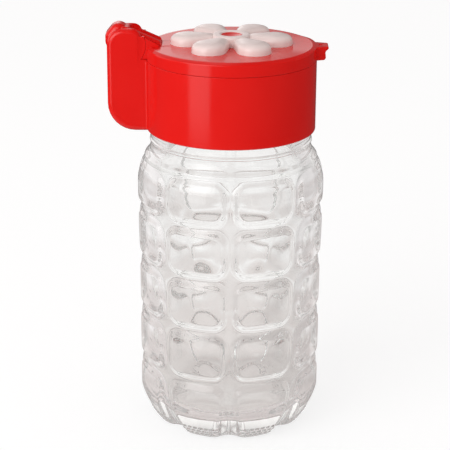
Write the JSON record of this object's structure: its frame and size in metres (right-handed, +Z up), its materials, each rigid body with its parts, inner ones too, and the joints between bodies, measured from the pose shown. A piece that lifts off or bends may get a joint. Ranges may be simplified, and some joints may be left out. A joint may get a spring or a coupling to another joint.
{
  "type": "salt shaker",
  "caption": "Clear pressed-glass table shaker with a pillowed body, a red screw cap, a flip lid worked by a thumb lever, and a white daisy on the lid.",
  "frame": {"origin": "centre of the jar's foot, on the plane that it stands on", "axes": "+Z up along the jar's axis; the thumb lever points along -X and the lifting tab along +X"},
  "size_m": [0.0584, 0.0496, 0.1112],
  "materials": {
    "clear_glass": "pressed, fire polished",
    "red_plastic": "moulded gloss",
    "white_plastic": "moulded gloss",
    "liner_plastic": "soft moulded"
  },
  "bodies": {
    "jar": {"glass_jar": "clear_glass"},
    "liner": {"cap_liner": "liner_plastic"},
    "cap": {"screw_cap": "red_plastic"},
    "lid": {"flip_lid": "red_plastic", "daisy": "white_plastic"}
  },
  "joints": [
    {"name": "cap_lift", "type": "slide", "parent": "jar", "child": "liner", "axis": [0, 0, 1], "range_m": [0, 0.0042]},
    {"name": "cap_turn", "type": "hinge", "parent": "liner", "child": "cap", "pos_m": [0, 0, 0.0986], "axis": [0, 0, 1], "range_deg": [0, 360]},
    {"name": "lid_hinge", "type": "hinge", "parent": "cap", "child": "lid", "pos_m": [-0.028, 0, 0.106], "axis": [0, -1, 0], "range_deg": [0, 95]}
  ],
  "couplings": [
    {"joint": "cap_lift", "follows": "cap_turn", "m_per_rad": 0.00066845}
  ]
}
